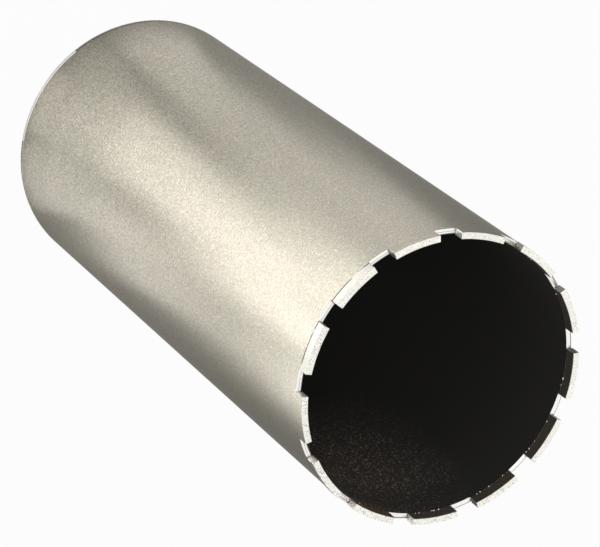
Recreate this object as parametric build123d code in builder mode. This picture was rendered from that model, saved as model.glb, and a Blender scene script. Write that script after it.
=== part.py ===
"""Diamond core bit of 152 mm with a 1-1/4 in. threaded hub, for wet drilling.

A thin steel barrel carries thirteen diamond segments, welded to its mouth with
water slots between them. A turned plate closes its rear end, and a turned hub
welded into the plate's middle screws onto the drill's spindle.

Millimetres and degrees. The axis is +Z: the hub's seat is at Z = 0 and the
crown of segments is uppermost. +X runs through the middle of a water slot.
"""
import os
from math import degrees

from build123d import *

# Barrel: a drawn steel tube, bevelled inside and outside where the water slots bare its mouth
barrel_radius = 75.6
barrel_wall = 2.75
barrel_length = 361.5
mouth_outer_bevel = 1.0
mouth_inner_bevel = 0.8

# Diamond segments: sintered arcs, a little thicker than the wall, so that the barrel runs free
segment_count = 13
segment_length = 24.5
segment_height = 6.7
segment_outer_relief = 0.4
segment_inner_relief = 0.35
segment_edge_break = 0.2
segment_seam = 0.25

# Back plate: a turned disc with a rim flush with the barrel and a spigot inside it
plate_rim_height = 2.5
plate_spigot_depth = 7.5
plate_spigot_clearance = 0.1
plate_spigot_bevel = 1.0
plate_rear_bevel = 0.6
joint_groove = 0.35

# Hub: turned bar with the spindle thread, a spanner groove and a spigot through the plate
hub_radius = 25.0
hub_length = 34.0
hub_spigot_radius = 20.0
hub_spigot_clearance = 0.05
hub_spigot_stand = 1.0
hub_edge_bevel = 1.0
thread_core_radius = 14.1
thread_mouth_bevel = 2.4
thread_end_bevel = 1.0
spanner_width = 41.0
spanner_flat_start = 8.0
spanner_flat_length = 17.0
hub_weld_leg = 5.0
hub_weld_crown = 0.6

# Levels along the axis and radii that follow from the sizes above
plate_rear = hub_length
barrel_rear = plate_rear + plate_rim_height
plate_front = barrel_rear + plate_spigot_depth
barrel_mouth = barrel_rear + barrel_length
bore_radius = barrel_radius - barrel_wall
hub_top = plate_front + hub_spigot_stand
plate_bore_radius = hub_spigot_radius + hub_spigot_clearance

segment_inner_radius = bore_radius - segment_inner_relief
segment_outer_radius = barrel_radius + segment_outer_relief
segment_pitch = 360 / segment_count
segment_angle = degrees(segment_length / (barrel_radius - barrel_wall / 2))
slot_angle = segment_pitch - segment_angle


def radial_plane(angle):
    """Plane through the axis at this angle about it: local X is the radius, local Y is +Z."""
    return Plane.XZ.rotated((0, angle, 0))


# --- Barrel: the turned tube, then the two bevels of its mouth in each water slot
with BuildPart() as barrel:
    with BuildSketch(Plane.XZ):
        with BuildLine():
            Polyline(
                (bore_radius, barrel_rear),
                (barrel_radius - joint_groove, barrel_rear),
                (barrel_radius, barrel_rear + joint_groove),
                (barrel_radius, barrel_mouth),
                (bore_radius, barrel_mouth),
                close=True,
            )
        make_face()
    revolve(axis=Axis.Z)
    for slot in range(segment_count):
        with BuildSketch(radial_plane(slot * segment_pitch - slot_angle / 2)):
            with BuildLine():
                Polyline(
                    (barrel_radius - mouth_outer_bevel, barrel_mouth),
                    (barrel_radius, barrel_mouth),
                    (barrel_radius, barrel_mouth - mouth_outer_bevel),
                    close=True,
                )
            make_face()
            with BuildLine():
                Polyline(
                    (bore_radius, barrel_mouth - mouth_inner_bevel),
                    (bore_radius, barrel_mouth),
                    (bore_radius + mouth_inner_bevel, barrel_mouth),
                    close=True,
                )
            make_face()
        revolve(axis=Axis.Z, revolution_arc=slot_angle, mode=Mode.SUBTRACT)

# --- Back plate: its shoulder meets the barrel's rear end, and both edges of that joint are broken
with BuildPart() as back_plate:
    with BuildSketch(Plane.XZ):
        with BuildLine():
            spigot_radius = bore_radius - plate_spigot_clearance
            Polyline(
                (plate_bore_radius, plate_rear),
                (barrel_radius - plate_rear_bevel, plate_rear),
                (barrel_radius, plate_rear + plate_rear_bevel),
                (barrel_radius, barrel_rear - joint_groove),
                (barrel_radius - joint_groove, barrel_rear),
                (spigot_radius, barrel_rear),
                (spigot_radius, plate_front - plate_spigot_bevel),
                (spigot_radius - plate_spigot_bevel, plate_front),
                (plate_bore_radius, plate_front),
                close=True,
            )
        make_face()
    revolve(axis=Axis.Z)

# --- Threaded hub: its shoulder seats on the plate's rear face, and its spigot stands through
with BuildPart() as threaded_hub:
    with BuildSketch(Plane.XZ):
        with BuildLine():
            Polyline(
                (thread_core_radius + thread_mouth_bevel, 0),
                (hub_radius - hub_edge_bevel, 0),
                (hub_radius, hub_edge_bevel),
                (hub_radius, plate_rear),
                (hub_spigot_radius, plate_rear),
                (hub_spigot_radius, hub_top),
                (thread_core_radius + thread_end_bevel, hub_top),
                (thread_core_radius, hub_top - thread_end_bevel),
                (thread_core_radius, thread_mouth_bevel),
                close=True,
            )
        make_face()
    revolve(axis=Axis.Z)
    flat_depth = hub_radius - spanner_width / 2
    with BuildSketch(Plane.XY.offset(spanner_flat_start)):
        with Locations((0, spanner_width / 2 + flat_depth / 2), (0, -spanner_width / 2 - flat_depth / 2)):
            Rectangle(2 * hub_radius, flat_depth)
    extrude(amount=spanner_flat_length, mode=Mode.SUBTRACT)

# --- Hub weld: the bead in the corner between the hub and the plate's rear face
with BuildPart() as hub_weld:
    with BuildSketch(Plane.XZ):
        with BuildLine():
            toe_on_plate = (hub_radius + hub_weld_leg, plate_rear)
            toe_on_hub = (hub_radius, plate_rear - hub_weld_leg)
            bead_rise = hub_weld_leg / 2 + hub_weld_crown
            crown = (hub_radius + bead_rise, plate_rear - bead_rise)
            ThreePointArc(toe_on_plate, crown, toe_on_hub)
            Polyline(toe_on_hub, (hub_radius, plate_rear), toe_on_plate)
        make_face()
    revolve(axis=Axis.Z)

# --- Segments: arcs with flat radial ends, seated on the barrel's mouth between the water slots
segments = []
for number in range(segment_count):
    middle = (number + 0.5) * segment_pitch
    with BuildPart() as segment:
        with BuildSketch(Plane.XY.offset(barrel_mouth)):
            with BuildLine():
                first_angle = middle - segment_angle / 2
                outer_arc = CenterArc((0, 0), segment_outer_radius, first_angle, segment_angle)
                inner_arc = CenterArc((0, 0), segment_inner_radius, first_angle, segment_angle)
                Line(inner_arc @ 0, outer_arc @ 0)
                Line(inner_arc @ 1, outer_arc @ 1)
            make_face()
        extrude(amount=segment_height)
        tip = segment.faces().sort_by(Axis.Z)[-1]
        seat = segment.faces().sort_by(Axis.Z)[0]
        chamfer(tip.edges(), segment_edge_break)
        chamfer(seat.edges().filter_by(GeomType.CIRCLE), segment_seam)
    segment.part.label = f"segment_{number + 1:02d}"
    segments.append(segment.part)

# --- One STEP file for each piece
barrel.part.label = "barrel"
back_plate.part.label = "back_plate"
threaded_hub.part.label = "threaded_hub"
hub_weld.part.label = "hub_weld"

os.makedirs("parts", exist_ok=True)
for piece in [barrel.part, back_plate.part, threaded_hub.part, hub_weld.part, *segments]:
    export_step(piece, f"parts/{piece.label}.step")
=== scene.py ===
import math
import random

import bmesh
import bpy
from mathutils import Matrix, Vector


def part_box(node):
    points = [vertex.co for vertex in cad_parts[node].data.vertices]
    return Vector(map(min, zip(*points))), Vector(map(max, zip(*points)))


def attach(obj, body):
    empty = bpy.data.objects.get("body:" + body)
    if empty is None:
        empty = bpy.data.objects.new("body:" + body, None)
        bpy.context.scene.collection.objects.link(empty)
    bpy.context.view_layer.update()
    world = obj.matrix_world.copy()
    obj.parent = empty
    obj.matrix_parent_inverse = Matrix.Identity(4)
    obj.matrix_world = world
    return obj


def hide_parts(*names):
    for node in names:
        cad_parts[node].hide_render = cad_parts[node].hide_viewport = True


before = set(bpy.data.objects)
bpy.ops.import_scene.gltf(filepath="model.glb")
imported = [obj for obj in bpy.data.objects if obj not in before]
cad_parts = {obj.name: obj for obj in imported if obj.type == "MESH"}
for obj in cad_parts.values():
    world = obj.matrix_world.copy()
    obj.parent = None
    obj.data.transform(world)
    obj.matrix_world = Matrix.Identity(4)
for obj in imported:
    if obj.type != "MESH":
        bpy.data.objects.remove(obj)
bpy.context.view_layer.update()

scene = bpy.context.scene
scene.view_settings.view_transform = "Standard"

# --- Camera: it looks down past the crown and along the barrel, through a long lens, and is rolled
# so that the bit lies across the frame.
camera_place = (0.00876, -0.88974, 1.58815)
camera_turn = math.radians(0.44)
camera_tilt = math.radians(33.59)
camera_roll = math.radians(128.16)

camera_data = bpy.data.cameras.new("camera")
camera_data.sensor_width = 36
camera_data.lens = 183.97
camera = bpy.data.objects.new("camera", camera_data)
camera.matrix_world = (
    Matrix.Translation(camera_place)
    @ Matrix.Rotation(camera_turn, 4, "Z")
    @ Matrix.Rotation(camera_tilt, 4, "X")
    @ Matrix.Rotation(camera_roll, 4, "Z")
)
scene.collection.objects.link(camera)
scene.camera = camera


# --- Floor: a plain pale studio floor, which keeps the bit's soft shadow near it and runs out to
# white. Shader sums are written on Wires, and Finish.node adds any other node.
class Wire:
    """An output socket of a node. Arithmetic on it adds Math nodes."""

    def __init__(self, finish, socket):
        self.finish = finish
        self.socket = socket

    def math(self, operation, *values):
        return self.finish.node("ShaderNodeMath", {"operation": operation}, dict(enumerate(values)))

    def __add__(self, other):
        return self.math("ADD", self, other)

    def __radd__(self, other):
        return self.math("ADD", other, self)

    def __sub__(self, other):
        return self.math("SUBTRACT", self, other)

    def __rsub__(self, other):
        return self.math("SUBTRACT", other, self)

    def __mul__(self, other):
        return self.math("MULTIPLY", self, other)

    def __rmul__(self, other):
        return self.math("MULTIPLY", other, self)

    def __truediv__(self, other):
        return self.math("DIVIDE", self, other)

    def ramp(self, low, high):
        """0 up to low, 1 from high on, and smooth between; low may be above high."""
        smooth = {"interpolation_type": "SMOOTHSTEP"}
        return self.finish.node("ShaderNodeMapRange", smooth, {0: self, 1: low, 2: high})

    def near(self, middle, half_width):
        """1 at middle, falling smoothly to 0 half_width away on either side."""
        return self.math("ABSOLUTE", self - middle).ramp(half_width, 0)


class Finish:
    """The node tree of a material or of the world."""

    def __init__(self, owner):
        owner.use_nodes = True
        self.owner = owner
        self.tree = owner.node_tree
        self.tree.nodes.clear()

    def node(self, kind, settings=None, sockets=None, output=0):
        """Adds a node: first its settings, then the values or Wires of its sockets. It gives the
        Wire of one output, or of all of them by name if output is None."""
        made = self.tree.nodes.new(kind)
        for name, value in (settings or {}).items():
            setattr(made, name, value)
        for name, value in (sockets or {}).items():
            if isinstance(value, Wire):
                self.tree.links.new(value.socket, made.inputs[name])
            else:
                made.inputs[name].default_value = value
        if output is None:
            return {socket.name: Wire(self, socket) for socket in made.outputs}
        return Wire(self, made.outputs[output]) if len(made.outputs) else None

    def show(self, shader):
        of_world = isinstance(self.owner, bpy.types.World)
        kind = "ShaderNodeOutputWorld" if of_world else "ShaderNodeOutputMaterial"
        self.node(kind, None, {"Surface": shader})

    def ray(self, kind):
        """1 for rays of this kind, such as Is Camera Ray."""
        return self.node("ShaderNodeLightPath", output=kind)


pure_white = (1, 1, 1, 1)
floor_grey = (0.75, 0.75, 0.75, 1)
floor_radius = 6
floor_share_lit = 0.03
floor_share_mirrored = 0.12
shadow_start = 0.5
shadow_end = 1.3

floor_finish = Finish(bpy.data.materials.new("pale_floor"))
floor_place = floor_finish.node("ShaderNodeTexCoord", output="Object")
floor_out = floor_finish.node("ShaderNodeVectorMath", {"operation": "LENGTH"}, {0: floor_place}, "Value")
lit_share = floor_share_lit * floor_out.ramp(shadow_end, shadow_start)
white_share = (
    floor_finish.ray("Is Camera Ray") * (1 - lit_share)
    + floor_finish.ray("Is Transmission Ray") * (1 - lit_share)
    + floor_finish.ray("Is Glossy Ray") * floor_share_mirrored
)
pale = floor_finish.node("ShaderNodeBsdfDiffuse", None, {"Color": floor_grey})
white = floor_finish.node("ShaderNodeEmission", None, {"Color": pure_white, "Strength": 1})
floor_finish.show(floor_finish.node("ShaderNodeMixShader", None, {0: white_share, 1: pale, 2: white}))

bpy.ops.object.select_all(action="DESELECT")
bpy.ops.mesh.primitive_circle_add(vertices=96, radius=floor_radius, fill_type="NGON")
floor = bpy.context.active_object
floor.name = "floor"
floor.data.materials.append(floor_finish.owner)

# --- Studio air: white where it is seen behind the bit or mirrored in its bright faces, and a
# dimmer even light everywhere else.
even_light = 0.12
scene.world = bpy.data.worlds.new("studio_air")
air = Finish(scene.world)
seen = air.ray("Is Camera Ray") + air.ray("Is Glossy Ray") + air.ray("Is Transmission Ray")
strength = even_light + (1 - even_light) * seen.math("MINIMUM", seen, 1.0)
air.show(air.node("ShaderNodeBackground", None, {"Color": pure_white, "Strength": strength}))


# --- Lamps: soft panels. The barrel's upright side mirrors what lies round its foot, so most of
# them are low cards that lie on the floor in front of it and face up.
def soft_lamp(name, place, turn, size, power):
    """A rectangular lamp that shines along its own -Z and isn't seen itself."""
    light = bpy.data.lights.new(name, "AREA")
    light.shape = "RECTANGLE"
    light.size, light.size_y = size
    light.energy = power
    lamp = bpy.data.objects.new(name, light)
    lamp.location = place
    lamp.rotation_euler = turn
    lamp.visible_camera = False
    scene.collection.objects.link(lamp)


def round_axis(distance, bearing, height):
    """The place at this distance and bearing from the bit's axis, and at this height."""
    return Vector((distance * math.cos(bearing), distance * math.sin(bearing), height))


# azimuth in degrees, distance out from the axis, size along and across the arc, power in watts
low_cards = (
    (285, 0.105, (0.06, 0.035), 0.0043),
    (325, 0.105, (0.06, 0.035), 0.0040),
    (215, 0.13, (0.08, 0.07), 0.0098),
    (260, 0.13, (0.08, 0.07), 0.0064),
    (290, 0.13, (0.08, 0.07), 0.0100),
    (320, 0.13, (0.08, 0.07), 0.0120),
    (215, 0.20, (0.14, 0.10), 0.0214),
    (275, 0.20, (0.14, 0.10), 0.0649),
    (335, 0.20, (0.14, 0.10), 0.0490),
    (200, 0.32, (0.24, 0.14), 0.090),
    (245, 0.32, (0.24, 0.14), 0.090),
    (290, 0.32, (0.24, 0.14), 0.315),
    (260, 0.46, (0.24, 0.14), 0.608),
    (305, 0.46, (0.24, 0.14), 0.519),
    (335, 0.46, (0.24, 0.14), 0.745),
    (60, 0.46, (0.24, 0.14), 0.30),
    (125, 0.46, (0.24, 0.14), 0.30),
)
card_height = 0.01
for number, (azimuth, distance, size, power) in enumerate(low_cards, 1):
    bearing = math.radians(azimuth)
    face_up = (math.pi, 0, bearing + math.pi / 2)
    soft_lamp(f"low_card_{number}", round_axis(distance, bearing, card_height), face_up, size, power)


def facing(place, aim):
    """The turn that makes a lamp at this place shine at the aim."""
    return (Vector(aim) - Vector(place)).to_track_quat("-Z", "Y").to_euler()


side_place = (-0.494, -0.494, 0.237)
side_aim = (0, 0, 0.2)
side_size = (0.3, 0.3)
side_power = 1.9
soft_lamp("side_panel", side_place, facing(side_place, side_aim), side_size, side_power)

# a snooted spot above the crown, which reaches down the bore and nothing else
bore_place = (0.0, -0.62, 1.62)
bore_aim = (0, 0, 0.4)
snoot = bpy.data.lights.new("bore_spot", "SPOT")
snoot.energy = 14
snoot.spot_size = math.radians(7.5)
snoot.spot_blend = 0.3
snoot.shadow_soft_size = 0.03
spot = bpy.data.objects.new("bore_spot", snoot)
spot.location = bore_place
spot.rotation_euler = facing(bore_place, bore_aim)
scene.collection.objects.link(spot)


# --- Barrel: a drawn steel tube, sprayed with metal-flake paint outside and left with its black
# mill scale inside. Its mouth is bare and bevelled on both edges where the water slots open.
slots = 13
slot_pitch = 2 * math.pi / slots
barrel_radius = 0.0756
barrel_wall = 0.00275
bore_radius = barrel_radius - barrel_wall
barrel_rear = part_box("barrel")[0].z
barrel_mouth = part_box("barrel")[1].z
segment_length = 0.0245
segment_angle = segment_length / (barrel_radius - barrel_wall / 2)
slot_angle = slot_pitch - segment_angle
mouth_outer_bevel = 0.001
mouth_inner_bevel = 0.0008
joint_groove = 0.00035
steps_at_segment = 16
steps_at_slot = 8

# places that are nearer than this count as one
hair = 1e-5


def start_section(name, inner, outer, bottom, top, cells=(1, 1)):
    """A flat rectangle of a turned piece's section, upright in the XZ plane and left in edit mode."""
    bpy.ops.object.select_all(action="DESELECT")
    bpy.ops.mesh.primitive_grid_add(x_subdivisions=cells[0], y_subdivisions=cells[1], size=1)
    piece = bpy.context.active_object
    piece.name = name
    upright = Matrix.Rotation(math.pi / 2, 4, "X")
    size = Matrix.Diagonal((outer - inner, 1, top - bottom, 1))
    middle = Matrix.Translation(((inner + outer) / 2, 0, (bottom + top) / 2))
    piece.data.transform(middle @ size @ upright)
    bpy.ops.object.mode_set(mode="EDIT")
    return piece


def pick(piece, kind, test):
    """Selects the verts, edges or faces whose middle passes the test, and nothing else."""
    bpy.ops.mesh.select_mode(type={"verts": "VERT", "edges": "EDGE", "faces": "FACE"}[kind])
    bpy.ops.mesh.select_all(action="DESELECT")
    mesh = bmesh.from_edit_mesh(piece.data)
    for item in getattr(mesh, kind):
        corners = [item.co] if kind == "verts" else [corner.co for corner in item.verts]
        item.select_set(test(sum(corners, Vector()) / len(corners)))
    mesh.select_flush_mode()
    bmesh.update_edit_mesh(piece.data)


def chamfer_corner(piece, radius, height, size, steps=1):
    """Cuts the section's corner at this radius and height."""
    pick(piece, "verts", lambda at: math.hypot(at.x - radius, at.z - height) < hair)
    bpy.ops.mesh.bevel(offset=size, offset_type="OFFSET", segments=steps, affect="VERTICES")


def grow_section(piece, test, by):
    """Draws the section's edges that pass the test out by a distance, to add a step to it."""
    pick(piece, "edges", test)
    bpy.ops.mesh.extrude_region_move(TRANSFORM_OT_translate={"value": by})


def keep_outline(piece):
    """Leaves only the edges round the section, for a spin right round."""
    bpy.ops.mesh.select_mode(type="EDGE")
    bpy.ops.mesh.select_all(action="DESELECT")
    mesh = bmesh.from_edit_mesh(piece.data)
    for edge in mesh.edges:
        edge.select_set(len(edge.link_faces) == 2)
    bmesh.update_edit_mesh(piece.data)
    bpy.ops.mesh.delete(type="EDGE")
    bpy.ops.mesh.select_all(action="SELECT")
    bpy.ops.mesh.delete(type="ONLY_FACE")
    bpy.ops.mesh.select_all(action="SELECT")


def spin_on(angle, steps):
    """Spins what is selected about the axis, anticlockwise from above; the last ring stays selected."""
    bpy.ops.mesh.spin(steps=steps, angle=-angle, center=(0, 0, 0), axis=(0, 0, 1))


def close_piece(smooth_below=30):
    """Joins the seam, points the faces outwards and leaves edit mode."""
    bpy.ops.mesh.select_all(action="SELECT")
    bpy.ops.mesh.remove_doubles(threshold=hair / 2)
    bpy.ops.mesh.select_all(action="SELECT")
    bpy.ops.mesh.normals_make_consistent(inside=False)
    bpy.ops.object.mode_set(mode="OBJECT")
    bpy.ops.object.shade_smooth_by_angle(angle=math.radians(smooth_below))


def outward(face):
    """How far a face looks away from the axis: 1 outwards, -1 inwards."""
    return Vector((face.center.x, face.center.y, 0)).normalized().dot(face.normal)


def in_slot(at):
    """True over a water slot; a slot is centred on each whole multiple of the pitch."""
    turns = math.atan2(at.y, at.x) / slot_pitch
    return abs(turns - round(turns)) * slot_pitch < slot_angle / 2


def give(piece, *materials):
    """Gives the piece these materials, in this order."""
    piece.data.materials.clear()
    for material in materials:
        piece.data.materials.append(material)


barrel = start_section("barrel_tube", bore_radius, barrel_radius, barrel_rear, barrel_mouth)
chamfer_corner(barrel, barrel_radius, barrel_rear, joint_groove)
keep_outline(barrel)
spin_on(slot_angle / 2, steps_at_slot // 2)
for slot in range(slots - 1):
    spin_on(segment_angle, steps_at_segment)
    spin_on(slot_angle, steps_at_slot)
spin_on(segment_angle, steps_at_segment)
spin_on(slot_angle / 2, steps_at_slot // 2)
bpy.ops.mesh.select_all(action="SELECT")
bpy.ops.mesh.remove_doubles(threshold=hair / 2)
for radius, bevel in ((barrel_radius, mouth_outer_bevel), (bore_radius, mouth_inner_bevel)):
    pick(
        barrel,
        "edges",
        lambda at: barrel_mouth - at.z < hair
        and abs(math.hypot(at.x, at.y) - radius) < hair
        and in_slot(at),
    )
    bpy.ops.mesh.bevel(offset=bevel, offset_type="OFFSET", segments=1, affect="EDGES")
close_piece()

# two knocks in the paint: place, half length and half height of each
knocks = (
    (round_axis(barrel_radius, math.radians(-117.0), 0.079), 0.0022, 0.0006),
    (round_axis(barrel_radius, math.radians(-132.2), 0.3344), 0.0006, 0.0006),
)


class Surface(Finish):
    """The material of a piece, and the patterns that its look is worked out from. They lie in the
    piece's own space."""

    def __init__(self, name):
        super().__init__(bpy.data.materials.new(name))
        self.place = self.node("ShaderNodeTexCoord", output="Object")

    def along(self, axis):
        """The place along the X, Y or Z axis."""
        return self.node("ShaderNodeSeparateXYZ", None, {0: self.place}, axis)

    def radius(self):
        """The distance from the bit's axis."""
        level = {0: self.place, 1: (1, 1, 0)}
        flat = self.node("ShaderNodeVectorMath", {"operation": "MULTIPLY"}, level)
        return self.node("ShaderNodeVectorMath", {"operation": "LENGTH"}, {0: flat}, "Value")

    def noise(self, scale, detail):
        """Soft clouds, from 0 to 1."""
        sockets = {"Vector": self.place, "Scale": scale, "Detail": detail}
        return self.node("ShaderNodeTexNoise", None, sockets)

    def lathe_lines(self, across, scale, detail):
        """Uneven lines that follow one another along a distance."""
        sockets = {"W": across, "Scale": scale, "Detail": detail}
        return self.node("ShaderNodeTexNoise", {"noise_dimensions": "1D"}, sockets)

    def grains(self, scale):
        """Small cells: three random numbers for each, as Red, Green and Blue."""
        cell = self.node("ShaderNodeTexVoronoi", None, {"Vector": self.place, "Scale": scale}, "Color")
        return self.node("ShaderNodeSeparateColor", None, {0: cell}, None)

    def blend(self, share, first, second):
        """A colour that goes from the first to the second as the share goes from 0 to 1."""
        return self.node("ShaderNodeMix", {"data_type": "RGBA"}, {0: share, 6: first, 7: second}, 2)

    def toned(self, colour, tone):
        """The colour times a number."""
        return self.node("ShaderNodeVectorMath", {"operation": "SCALE"}, {0: colour, 3: tone})

    def relief(self, height, depth, strength):
        """The normal of a surface whose height runs up to this depth in metres."""
        sockets = {"Strength": strength, "Distance": depth, "Height": height}
        return self.node("ShaderNodeBump", None, sockets)

    def material(self, look):
        """The finished material: look holds the values or Wires of its Principled shader."""
        self.show(self.node("ShaderNodeBsdfPrincipled", None, look))
        return self.owner


def flake_paint(name, shades):
    """Champagne paint with metal flakes, each of its own tone, in a finely rippled coat; the brightest
    flakes are painted glints. It is coarser toward the foot and painted lighter there, and two small
    knocks have bared bright steel."""
    bright_steel = (0.85, 0.83, 0.77, 1)
    paint = Surface(name)
    height = paint.along("Z")
    flake = paint.grains(2100)["Red"]
    drift = paint.noise(28, 2)
    ripple = paint.noise(1700, 1)
    low = height.ramp(0.38, 0.08)
    # the brightest flakes, lifted by 0.35, are painted glints
    flecks = (flake - 0.5) * (0.42 + 0.48 * low) + flake.ramp(0.93, 0.99) * 0.35
    # the tone is painted lighter toward the foot, where low rises
    tone = 0.98 + 0.10 * low + flecks + (drift - 0.5) * 0.06
    coated = paint.toned(paint.blend(drift.ramp(0.35, 0.65), *shades), tone)
    bared = 0
    for knock, half_length, half_height in knocks:
        ends = {0: paint.place, 1: knock}
        away = paint.node("ShaderNodeVectorMath", {"operation": "DISTANCE"}, ends, "Value")
        spot = away.ramp(half_length, half_length * 0.6) * height.near(knock.z, half_height)
        bared = spot + bared
    look = {
        "Base Color": paint.blend(bared * 0.8, coated, bright_steel),
        "Metallic": 1.0,
        "Roughness": 0.36,
        "Normal": paint.relief(ripple, 0.00002, 1.0),
    }
    return paint.material(look)


def black_scale():
    """The dark skin of hot-worked steel: brown-black grains, lighter, warmer and speckled along one
    side of the bore toward the mouth, with a little rust at the mouth's edge on that side."""
    skin_colours = ((0.078, 0.078, 0.070, 1), (0.084, 0.080, 0.073, 1))
    rust_colour = (0.36, 0.21, 0.10, 1)
    warm_tint = (1.0, 0.84, 0.77, 1)
    scale = Surface("black_mill_scale")
    side = scale.along("X")
    height = scale.along("Z")
    grain = scale.grains(1900)
    cloud = scale.noise(60, 4)
    # lighter, warmer and speckled along the +X side of the bore toward the mouth, less so at the mouth
    # itself
    lighter_speckled_side = side.ramp(0.020, 0.068) * height.ramp(barrel_mouth - 0.16, barrel_mouth - 0.05)
    lighter_speckled_side = lighter_speckled_side * (1 - 0.7 * height.ramp(barrel_mouth - 0.040, barrel_mouth - 0.012))
    rust = height.ramp(barrel_mouth - 0.012, barrel_mouth - 0.002) * side.ramp(0.060, 0.070)
    rust = rust * grain["Blue"].ramp(0.3, 0.9)
    skin = scale.blend(cloud.ramp(0.3, 0.7), *skin_colours)
    rusty = scale.blend(rust * 0.9, skin, rust_colour)
    warmth = scale.blend(lighter_speckled_side, pure_white, warm_tint)
    tinted = scale.node("ShaderNodeVectorMath", {"operation": "MULTIPLY"}, {0: rusty, 1: warmth})
    sparkle = 3.2 * (grain["Red"] - 0.5) + 18.0 * grain["Green"].ramp(0.90, 1.0)
    look = {
        "Base Color": scale.toned(tinted, 0.80 + lighter_speckled_side * (1.4 + sparkle)),
        "Roughness": 0.65,
        "Specular IOR Level": 0.25,
        "Normal": scale.relief(cloud, 0.00005, 0.6),
    }
    return scale.material(look)


def bare_mouth():
    """The mouth's bare steel: bright turned rings, a painted shade line where the outer bevel starts,
    and painted shade in the corners beside the segments' ends, where their laser welds end."""
    steel_colour = (0.97, 0.96, 0.92)
    painted_shade_colour = (0.10, 0.09, 0.07, 1)
    mouth = Surface("bare_mouth_steel")
    radius = mouth.radius()
    turn = mouth.along("Y")
    turn = turn.math("ARCTAN2", turn, mouth.along("X")) / slot_pitch
    off_middle = turn.math("FRACT", turn + slots + 0.5) - 0.5
    off_middle = off_middle.math("ABSOLUTE", off_middle) * slot_pitch
    rings = mouth.lathe_lines(radius, 4000, 1)
    smear = mouth.noise(500, 3)
    bright = mouth.toned(steel_colour, 0.80 + 0.14 * rings + 0.16 * smear)
    # painted shade: a line along the edge where the outer bevel starts, and the slot corners beside each
    # segment
    line = radius.near(barrel_radius - mouth_outer_bevel, 0.0002) * smear.ramp(0.25, 0.5)
    corner = off_middle.ramp(slot_angle / 2 - 0.010, slot_angle / 2 - 0.004) * smear.ramp(0.25, 0.6)
    look = {
        "Base Color": mouth.blend(line.math("MAXIMUM", line, corner) * 0.8, bright, painted_shade_colour),
        "Metallic": 1.0,
        "Roughness": 0.25 + 0.12 * smear,
        "Normal": mouth.relief(rings, 0.00001, 0.5),
    }
    return mouth.material(look)


# the stretch of the joint with the back plate that paint has filled, in degrees round it
filled_joint = (-57.5, 20)


def is_beside(face, stretch):
    """True for a face within a stretch of bearings."""
    return stretch[0] < math.degrees(math.atan2(face.center.y, face.center.x)) < stretch[1]


champagne_shades = ((0.431, 0.407, 0.334, 1), (0.438, 0.403, 0.337, 1))
barrel_paint = flake_paint("champagne_paint", champagne_shades)
mill_scale = black_scale()
give(barrel, barrel_paint, mill_scale, bare_mouth())
painted, scaly, bare = range(3)
for face in barrel.data.polygons:
    look = outward(face)
    if face.center.z < barrel_rear + joint_groove:
        face.material_index = painted if is_beside(face, filled_joint) else scaly
    elif look > 0.99:
        face.material_index = painted
    elif look < -0.99:
        face.material_index = scaly
    else:
        face.material_index = bare
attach(barrel, "root")
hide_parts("barrel")

# --- Back plate: a turned steel disc that closes the barrel's rear end. Its rim is flush with the
# barrel and painted with it but for one bare stretch, and its spigot fits inside the tube.
plate_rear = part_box("back_plate")[0].z
plate_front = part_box("back_plate")[1].z
plate_bore_radius = 0.02005
plate_spigot_clearance = 0.0001
plate_spigot_radius = bore_radius - plate_spigot_clearance
plate_spigot_bevel = 0.001
plate_rear_bevel = 0.0006
plate_steps = 312
hub_radius = 0.025

# the stretch of the rim that was masked and stayed bare, in degrees round it
bare_rim = (-104, -57.5)


def turned_steel(name, colour, roughness, feed, weld_corner=None):
    """Bare steel off the lathe: fine rings at the tool's feed, across a face or along a side. A
    weld beside it, in the corner at this radius and height, leaves bands of heat tint."""
    steel = Surface(name)
    radius = steel.radius()
    height = steel.along("Z")
    rings = steel.lathe_lines(radius + height, 1 / feed, 2)
    smear = steel.noise(90, 4)
    tinted = steel.toned(colour, 0.86 + 0.16 * rings + 0.14 * smear)
    if weld_corner:
        straw_colour = (0.46, 0.33, 0.15, 1)
        blue_colour = (0.16, 0.19, 0.28, 1)
        corner_radius, corner_height = weld_corner
        across = radius - corner_radius
        up = height - corner_height
        away = across * across + up * up
        away = away.math("SQRT", away)
        rear = height.ramp(corner_height + 0.004, corner_height + 0.001)
        straw = away.near(0.011, 0.006) * smear.ramp(0.2, 0.7) * rear
        blue = away.near(0.0075, 0.003) * smear.ramp(0.7, 0.3) * rear
        tinted = steel.blend(straw * 0.55, tinted, straw_colour)
        tinted = steel.blend(blue * 0.6, tinted, blue_colour)
    look = {
        "Base Color": tinted,
        "Metallic": 1.0,
        "Roughness": roughness + 0.12 * smear,
        "Normal": steel.relief(rings, 0.00001, 0.5),
    }
    return steel.material(look)


plate = start_section(
    "turned_back_plate", plate_bore_radius, plate_spigot_radius, plate_rear, plate_front
)
bpy.ops.mesh.select_all(action="SELECT")
bpy.ops.mesh.bisect(plane_co=(0, 0, barrel_rear), plane_no=(0, 0, 1))
grow_section(
    plate,
    lambda at: plate_spigot_radius - at.x < hair and at.z < barrel_rear,
    (barrel_radius - plate_spigot_radius, 0, 0),
)
chamfer_corner(plate, barrel_radius, plate_rear, plate_rear_bevel, 2)
chamfer_corner(plate, barrel_radius, barrel_rear, joint_groove)
chamfer_corner(plate, plate_spigot_radius, plate_front, plate_spigot_bevel)
keep_outline(plate)
spin_on(2 * math.pi, plate_steps)
close_piece()
hub_corner = (hub_radius, plate_rear)
plate_steel = turned_steel(
    "turned_plate_steel", (0.86, 0.85, 0.82), roughness=0.24, feed=0.00035, weld_corner=hub_corner
)
rim_steel = turned_steel("bare_rim_steel", (0.84, 0.82, 0.77), roughness=0.42, feed=0.00025)
give(plate, plate_steel, barrel_paint, mill_scale, rim_steel)
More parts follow.
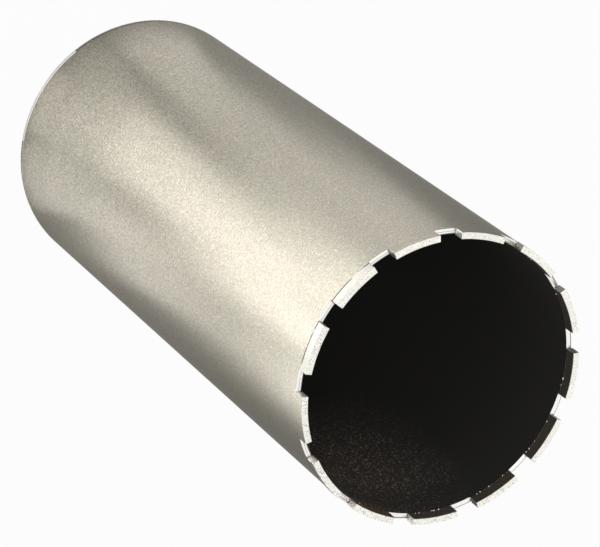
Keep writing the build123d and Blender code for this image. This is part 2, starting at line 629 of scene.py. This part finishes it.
turned, painted, scaly, masked = range(4)
for face in plate.data.polygons:
    off_rim = face.center.xy.length < barrel_radius - plate_rear_bevel
    if off_rim or face.center.z > barrel_rear + hair:
        face.material_index = turned
    elif is_beside(face, bare_rim):
        face.material_index = masked
    elif face.center.z > barrel_rear - joint_groove and not is_beside(face, filled_joint):
        face.material_index = scaly
    else:
        face.material_index = painted
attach(plate, "root")
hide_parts("back_plate")

# --- Threaded hub: turned from bar, with two spanner flats and a right-hand spindle thread of
# 1-1/4 in. and 7 turns an inch, cut right through it.
hub_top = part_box("threaded_hub")[1].z
hub_spigot_radius = 0.020
hub_spigot_bevel = 0.0003
hub_edge_bevel = 0.001
hub_steps = 128
thread_core_radius = 0.0141
thread_root_radius = 0.0159
thread_mouth_bevel = 0.0024
thread_end_bevel = 0.001
thread_pitch = 0.0254 / 7
flank_angle = math.radians(30)
tap_overlap = 0.0002
tap_turns = 16
turns_below = 2
turn_steps = 64
flat_half_width = 0.0205
flat_start = 0.008
flat_length = 0.017
flat_edge_break = 0.00025


def apply(piece, modifier):
    bpy.ops.object.select_all(action="DESELECT")
    piece.select_set(True)
    bpy.context.view_layer.objects.active = piece
    bpy.ops.object.modifier_apply(modifier=modifier.name)


def cut(piece, tool):
    """Cuts the tool's shape out of the piece and removes the tool."""
    knife = piece.modifiers.new("cut", "BOOLEAN")
    knife.operation = "DIFFERENCE"
    knife.solver = "EXACT"
    knife.object = tool
    apply(piece, knife)
    bpy.data.objects.remove(tool)


hub = start_section("turned_hub", thread_core_radius, hub_radius, 0, plate_rear)
bpy.ops.mesh.select_all(action="SELECT")
bpy.ops.mesh.bisect(plane_co=(hub_spigot_radius, 0, 0), plane_no=(1, 0, 0))
grow_section(
    hub,
    lambda at: plate_rear - at.z < hair and at.x < hub_spigot_radius,
    (0, 0, hub_top - plate_rear),
)
chamfer_corner(hub, hub_radius, 0, hub_edge_bevel, 2)
chamfer_corner(hub, thread_core_radius, 0, thread_mouth_bevel)
chamfer_corner(hub, thread_core_radius, hub_top, thread_end_bevel)
chamfer_corner(hub, hub_spigot_radius, hub_top, hub_spigot_bevel)
keep_outline(hub)
spin_on(2 * math.pi, hub_steps)
close_piece()

for side in (1, -1):
    bpy.ops.object.select_all(action="DESELECT")
    bpy.ops.mesh.primitive_cube_add(size=1)
    mill = bpy.context.active_object
    depth = hub_radius - flat_half_width
    mill.data.transform(
        Matrix.Translation((0, side * (flat_half_width + depth), flat_start + flat_length / 2))
        @ Matrix.Diagonal((2 * hub_radius, 2 * depth, flat_length, 1))
    )
    cut(hub, mill)
ease = hub.modifiers.new("ease", "BEVEL")
ease.width = flat_edge_break
ease.segments = 2
ease.limit_method = "ANGLE"
ease.angle_limit = math.radians(50)
apply(hub, ease)

# the tap: one turn of its tooth, wound up the bore past both ends, and closed on the axis
bpy.ops.object.select_all(action="DESELECT")
bpy.ops.mesh.primitive_plane_add(size=1)
tap = bpy.context.active_object
tooth_tip = thread_root_radius
tooth_foot = thread_core_radius - tap_overlap
tooth_base = (tooth_tip - tooth_foot) * math.tan(flank_angle)
tooth_flat = thread_pitch / 8
bpy.ops.object.mode_set(mode="EDIT")
tooth = bmesh.from_edit_mesh(tap.data)
tooth.clear()
heights = (0, tooth_base, tooth_base + tooth_flat, 2 * tooth_base + tooth_flat, thread_pitch)
radii = (tooth_foot, tooth_tip, tooth_tip, tooth_foot, tooth_foot)
corners = [tooth.verts.new((radius, 0, height)) for radius, height in zip(radii, heights)]
for lower, upper in zip(corners, corners[1:]):
    tooth.edges.new((lower, upper))
bmesh.update_edit_mesh(tap.data)
bpy.ops.mesh.select_all(action="SELECT")
bpy.ops.transform.translate(value=(0, 0, -turns_below * thread_pitch))
bpy.ops.object.mode_set(mode="OBJECT")
wind = tap.modifiers.new("wind", "SCREW")
wind.axis = "Z"
wind.angle = 2 * math.pi
wind.screw_offset = thread_pitch
wind.iterations = tap_turns
wind.steps = wind.render_steps = turn_steps
apply(tap, wind)
bpy.ops.object.mode_set(mode="EDIT")
bpy.ops.mesh.select_all(action="SELECT")
bpy.ops.mesh.remove_doubles(threshold=hair)
middle_height = (tap_turns / 2 - turns_below) * thread_pitch
for end in (-1, 1):
    bpy.ops.mesh.select_mode(type="EDGE")
    bpy.ops.mesh.select_all(action="DESELECT")
    thread = bmesh.from_edit_mesh(tap.data)
    for edge in thread.edges:
        edge.select_set(edge.is_boundary and (edge.verts[0].co.z - middle_height) * end > 0)
    bmesh.update_edit_mesh(tap.data)
    bpy.ops.mesh.extrude_region_move()
    bpy.ops.mesh.merge(type="CENTER")
close_piece()
cut(hub, tap)
bpy.ops.object.shade_smooth_by_angle(angle=math.radians(28))
hub_steel = turned_steel(
    "turned_hub_steel", (0.66, 0.65, 0.62), roughness=0.28, feed=0.0003, weld_corner=hub_corner
)
give(hub, hub_steel)
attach(hub, "root")
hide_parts("threaded_hub")

# --- Hub weld: one bead laid by hand round the corner of hub and plate. It is a row of small
# overlapping ripples, browned by its heat.
weld_leg = 0.005
weld_profile = 0.36
weld_steps = 8
ripples = 64
ripple_angle = 2 * math.pi / ripples
ripple_rise = (0, 0.00022, 0.00034, 0.00028, 0)
ripple_lag = 0.0007

bead = start_section(
    "hub_weld_bead", hub_radius, hub_radius + weld_leg, plate_rear - weld_leg, plate_rear
)
pick(bead, "verts", lambda at: at.x > hub_radius + hair and at.z < plate_rear - hair)
bpy.ops.mesh.bevel(
    offset=weld_leg - hair, segments=weld_steps, profile=weld_profile, affect="VERTICES"
)
keep_outline(bead)
bpy.ops.mesh.remove_doubles(threshold=2 * hair)
spin_on(ripple_angle, len(ripple_rise) - 1)
for column, rise in enumerate(ripple_rise):
    bearing = ripple_angle * column / (len(ripple_rise) - 1)
    pick(
        bead,
        "verts",
        lambda at: abs(math.atan2(at.y, at.x) - bearing) < ripple_angle / 16
        and math.hypot(at.x, at.y) > hub_radius + weld_leg / 3
        and at.z < plate_rear - weld_leg / 3,
    )
    bulge = Vector((rise, -ripple_lag, -rise))
    bpy.ops.transform.translate(value=Matrix.Rotation(bearing, 3, "Z") @ bulge)
bpy.ops.mesh.select_all(action="SELECT")
round_most = -2 * math.pi * (ripples - 1) / ripples
bpy.ops.mesh.spin(steps=ripples - 1, angle=round_most, dupli=True, center=(0, 0, 0), axis=(0, 0, 1))
close_piece(50)

weld = Surface("weld_bead_metal")
scorch = weld.noise(160, 5)
weld_look = {
    "Base Color": weld.blend(scorch.ramp(0.35, 0.65), (0.30, 0.27, 0.23, 1), (0.46, 0.42, 0.36, 1)),
    "Metallic": 1.0,
    "Roughness": 0.3 + 0.25 * scorch,
    "Normal": weld.relief(scorch, 0.00006, 0.4),
}
give(bead, weld.material(weld_look))
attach(bead, "root")
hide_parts("hub_weld")

# --- Diamond segments: arcs of sintered metal powder with diamond grit through them, dressed at
# the tip so that grains stand out, ground outside, and laser welded onto the barrel's mouth.
crown_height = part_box("segment_01")[1].z
segment_inner_relief = 0.00035
segment_outer_relief = 0.0004
segment_inner = bore_radius - segment_inner_relief
segment_outer = barrel_radius + segment_outer_relief
tip_grains = 44
end_grains = 16
grain_sizes = (0.00014, 0.00026)
grain_stand = 0.00012
unevenness = 0.00006
segment_tip = crown_height - grain_stand - unevenness / 2
segment_side = segment_outer - unevenness / 2
edge_break = 0.0002
foot_bevel = 0.00025
segment_cells = (7, 13)
segment_steps = 48

blank = start_section(
    "segment_blank", segment_inner, segment_side, barrel_mouth, segment_tip, segment_cells
)
for radius, height, size in (
    (segment_inner, segment_tip, edge_break),
    (segment_side, segment_tip, edge_break),
    (segment_inner, barrel_mouth, foot_bevel),
    (segment_side, barrel_mouth, foot_bevel),
):
    chamfer_corner(blank, radius, height, size, 2)
bpy.ops.mesh.select_all(action="SELECT")
spin_on(segment_angle, segment_steps)
bpy.ops.mesh.select_mode(type="EDGE")
bpy.ops.mesh.select_all(action="DESELECT")
bpy.ops.mesh.edges_select_sharp(sharpness=math.radians(60))
bpy.ops.mesh.bevel(offset=edge_break, offset_type="OFFSET", segments=2, affect="EDGES")
close_piece(35)

# a grain of twenty faces, for the diamonds and for the droplets on the seams
bpy.ops.object.select_all(action="DESELECT")
bpy.ops.mesh.primitive_ico_sphere_add(subdivisions=1, radius=1)
chip = bpy.context.active_object
chip.name = "diamond_chip"

sinter = bpy.data.textures.new("sintered_unevenness", "CLOUDS")
sinter.noise_scale = 0.0012
sinter.noise_depth = 2


def copy_piece(piece, name, place):
    """A copy with its own mesh, turned and moved in that mesh."""
    mesh = piece.data.copy()
    mesh.transform(place)
    twin = bpy.data.objects.new(name, mesh)
    scene.collection.objects.link(twin)
    return twin


def join_into(piece, parts):
    """Joins the parts into the piece, which is left active and selected."""
    bpy.ops.object.select_all(action="DESELECT")
    for part in parts:
        part.select_set(True)
    piece.select_set(True)
    bpy.context.view_layer.objects.active = piece
    bpy.ops.object.join()


def segment_start(number):
    """The bearing at which this segment starts; the first one follows the slot on the X axis."""
    return (number - 0.5) * slot_pitch - segment_angle / 2


def grains_for(number):
    """Diamond grains half sunk in one segment's tip and ends, at random."""
    draw = random.Random(number)
    made = []
    for grain in range(tip_grains + end_grains):
        size = draw.uniform(*grain_sizes)
        along = draw.uniform(0.02, 0.98) * segment_angle
        radius = draw.uniform(segment_inner + size, segment_side - size)
        height = segment_tip - 0.55 * size
        if grain >= tip_grains:
            sunk = 0.6 * size / segment_outer
            along = sunk if grain % 2 else segment_angle - sunk
            height = draw.uniform(barrel_mouth + 2 * size, segment_tip - 2 * size)
        place = (
            Matrix.Translation(round_axis(radius, segment_start(number) + along, height))
            @ Matrix.Rotation(draw.uniform(0, math.pi), 4, draw.choice("XYZ"))
            @ Matrix.Diagonal((size, size * draw.uniform(0.7, 1), size * draw.uniform(0.7, 1), 1))
        )
        made.append(copy_piece(chip, "grain", place))
    return made


def sintered_bond(name, painted_end_colour):
    """Sintered cobalt and bronze: pale dressed tips with dark pits; a darker, browner and less metallic
    inner side as painted shade; painted shade at the foot of the ends; and ends in a tone of painted
    light and shade given for each segment. The side that has cut most is pitted most."""
    body_colours = ((0.86, 0.85, 0.78, 1), (0.96, 0.95, 0.89, 1))
    painted_inner_shade_colour = (0.20, 0.165, 0.13, 1)
    rust_colour = (0.40, 0.25, 0.13, 1)
    pit_colour = (0.10, 0.10, 0.08, 1)
    pit_scale = 1700
    bond = Surface(name)
    side = bond.along("X")
    height = bond.along("Z")
    radius = bond.radius()
    patch = bond.noise(320, 3)
    cells = {"Vector": bond.place, "Scale": pit_scale}
    off_centre = bond.node("ShaderNodeTexVoronoi", None, cells, "Distance")
    worn = side.ramp(-0.02, 0.05)
    chosen = (bond.grains(pit_scale)["Red"] + 0.22 * worn).ramp(0.60, 0.72)
    pits = chosen * off_centre.ramp(0.50, 0.30) * patch.ramp(0.36, 0.54) * (0.65 + 0.35 * worn)
    # painted shade in the corner at the foot of each end, on its outer side; it is mixed with the pits
    foot = height.ramp(barrel_mouth + 0.0009, barrel_mouth + 0.0007) * patch.ramp(0.30, 0.45)
    foot = foot * radius.ramp(barrel_radius - 0.0006, barrel_radius - 0.0003)
    dark = foot.math("MAXIMUM", pits * 0.85, foot * 0.9)
    below_tip = height.ramp(segment_tip - 0.0002, segment_tip - 0.0006)
    # the inner side is painted darker and browner as painted shade, with rust patches on one side, and
    # made less metallic
    painted_inner_shade = radius.ramp(segment_inner + 0.0003, segment_inner + 0.0001)
    rusty = side.ramp(0.060, 0.070) * patch.ramp(0.35, 0.6)
    body = bond.blend(patch.ramp(0.3, 0.7), *body_colours)
    # below the tip, the ends take their tone of painted light and shade
    with_painted_ends = bond.blend(below_tip * 0.9, body, painted_end_colour)
    inner_shade_and_rust = bond.blend(rusty * 0.8, painted_inner_shade_colour, rust_colour)
    with_painted_inner_shade = bond.blend(painted_inner_shade * 0.9, with_painted_ends, inner_shade_and_rust)
    look = {
        "Base Color": bond.blend(dark, with_painted_inner_shade, pit_colour),
        "Metallic": 1 - 0.9 * painted_inner_shade,
        "Roughness": 0.38 + 0.2 * patch + 0.2 * pits,
        "Normal": bond.relief(patch - pits, 0.00004, 0.5),
    }
    return bond.material(look)


def ground_face():
    """The segment's outer side, ground true: fine lines round it, and a painted shadow line
    along its foot at the seam.
    """
    ground_colours = ((0.36, 0.35, 0.315, 1), (0.62, 0.605, 0.56, 1))
    painted_shadow_colour = (0.05, 0.05, 0.04, 1)
    ground = Surface("ground_segment_side")
    height = ground.along("Z")
    stretch = {"Vector": ground.place, "Scale": (60, 60, 5000)}
    stretched = ground.node("ShaderNodeMapping", None, stretch)
    lines = ground.node("ShaderNodeTexNoise", None, {"Vector": stretched, "Scale": 1, "Detail": 3})
    grit = ground.noise(1600, 1)
    broken = ground.noise(90, 1)
    # painted shadow: a broken dark line along the foot of the side
    seam = height.ramp(barrel_mouth + 0.0012, barrel_mouth + 0.0009) * broken.ramp(0.38, 0.46)
    bright = ground.blend(0.6 * lines.ramp(0.35, 0.65) + 0.4 * grit.ramp(0.35, 0.6), *ground_colours)
    look = {
        "Base Color": ground.blend(seam * 0.95, bright, painted_shadow_colour),
        "Metallic": 1.0,
        "Roughness": 0.3 + 0.15 * lines,
        "Normal": ground.relief(lines, 0.00001, 0.6),
    }
    return ground.material(look)


diamond = Surface("diamond_grain")
shade = diamond.grains(700)["Red"]
diamond_look = {
    "Base Color": diamond.blend(shade, (0.09, 0.09, 0.07, 1), (0.34, 0.34, 0.25, 1)),
    "Roughness": 0.25,
    "IOR": 2.0,
}
diamond_grain = diamond.material(diamond_look)

# three copies of the bond, whose ends are painted in light, half shade and shade
bond_by_end = {
    "pale": sintered_bond("sintered_bond_painted_lit_ends", (0.97, 0.94, 0.86, 1)),
    "dull": sintered_bond("sintered_bond_painted_half_shade_ends", (0.50, 0.48, 0.44, 1)),
    "dark": sintered_bond("sintered_bond_painted_shade_ends", (0.13, 0.125, 0.11, 1)),
}
# the painted light and shade on the ends of each segment, from 1 to 13: pale is painted light, dull
# painted half shade, dark painted shade
painted_end_shading = (
    "dull", "dull", "dark", "dark", "dark", "dark", "dark",
    "pale", "dull", "dark", "dull", "pale", "pale",
)
# the segments whose outer sides the barrel's paint ran over
oversprayed = (8, 9, 12)
ground_side = ground_face()
for number, painted_end_tone in enumerate(painted_end_shading, 1):
    turn = Matrix.Rotation(segment_start(number), 4, "Z")
    segment = copy_piece(blank, f"diamond_segment_{number:02d}", turn)
    uneven = segment.modifiers.new("unevenness", "DISPLACE")
    uneven.texture = sinter
    uneven.texture_coords = "LOCAL"
    uneven.strength = unevenness
    apply(segment, uneven)
    side_look = barrel_paint if number in oversprayed else ground_side
    give(segment, bond_by_end[painted_end_tone], side_look, diamond_grain)
    for face in segment.data.polygons:
        face.material_index = 1 if outward(face) > 0.9 else 0
    grains = grains_for(number)
    for grain in grains:
        give(grain, diamond_grain)
    join_into(segment, grains)
    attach(segment, "root")
    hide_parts(f"segment_{number:02d}")
bpy.data.objects.remove(blank)

# --- Segment seams: a laser weld runs along the foot of each segment inside the mouth, a hair-thin
# bead with a few bright droplets where the beam spattered.
seam_radius = 0.00017
seam_at = segment_inner + 0.0002
seam_steps = 24
seam_seed = 100
droplet_sizes = (0.00028, 0.00052)

# droplets on each seam, from segment 1 to 13
droplet_counts = (1, 8, 5, 4, 3, 1, 2, 4, 5, 4, 3, 4, 1)


def seam_look(name, dull, bright):
    """Weld metal that cooled in the air: mottled between two tones."""
    cooled = Surface(name)
    mottle = cooled.noise(900, 2)
    look = {
        "Base Color": cooled.blend(mottle.ramp(0.3, 0.7), dull, bright),
        "Metallic": 1.0,
        "Roughness": 0.30 + 0.2 * mottle,
    }
    return cooled.material(look)


seam_metal = seam_look("laser_seam_metal", (0.12, 0.11, 0.09, 1), (0.55, 0.52, 0.46, 1))
spatter_metal = seam_look("spatter_metal", (0.80, 0.78, 0.72, 1), (0.98, 0.97, 0.94, 1))
seam = start_section(
    "seam_blank",
    seam_at - seam_radius,
    seam_at + seam_radius,
    barrel_mouth - seam_radius,
    barrel_mouth + seam_radius,
)
bpy.ops.mesh.select_mode(type="VERT")
bpy.ops.mesh.select_all(action="SELECT")
bpy.ops.mesh.bevel(offset=seam_radius * 0.6, offset_type="OFFSET", segments=1, affect="VERTICES")
bpy.ops.mesh.select_all(action="SELECT")
spin_on(segment_angle, seam_steps)
close_piece(60)
for number, droplets in enumerate(droplet_counts, 1):
    draw = random.Random(seam_seed + number)
    start = segment_start(number)
    bead = copy_piece(seam, f"segment_seam_{number:02d}", Matrix.Rotation(start, 4, "Z"))
    give(bead, seam_metal)
    spatter = []
    for droplet in range(droplets):
        size = draw.uniform(*droplet_sizes)
        bearing = start + draw.uniform(0.05, 0.95) * segment_angle
        height = barrel_mouth + draw.uniform(-0.5, 0.8) * size
        place = Matrix.Translation(round_axis(seam_at - seam_radius, bearing, height))
        spatter.append(copy_piece(chip, "droplet", place @ Matrix.Scale(size, 4)))
        give(spatter[-1], spatter_metal)
    join_into(bead, spatter)
    bpy.ops.object.shade_smooth_by_angle(angle=math.radians(60))
    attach(bead, "root")
bpy.data.objects.remove(seam)
bpy.data.objects.remove(chip)
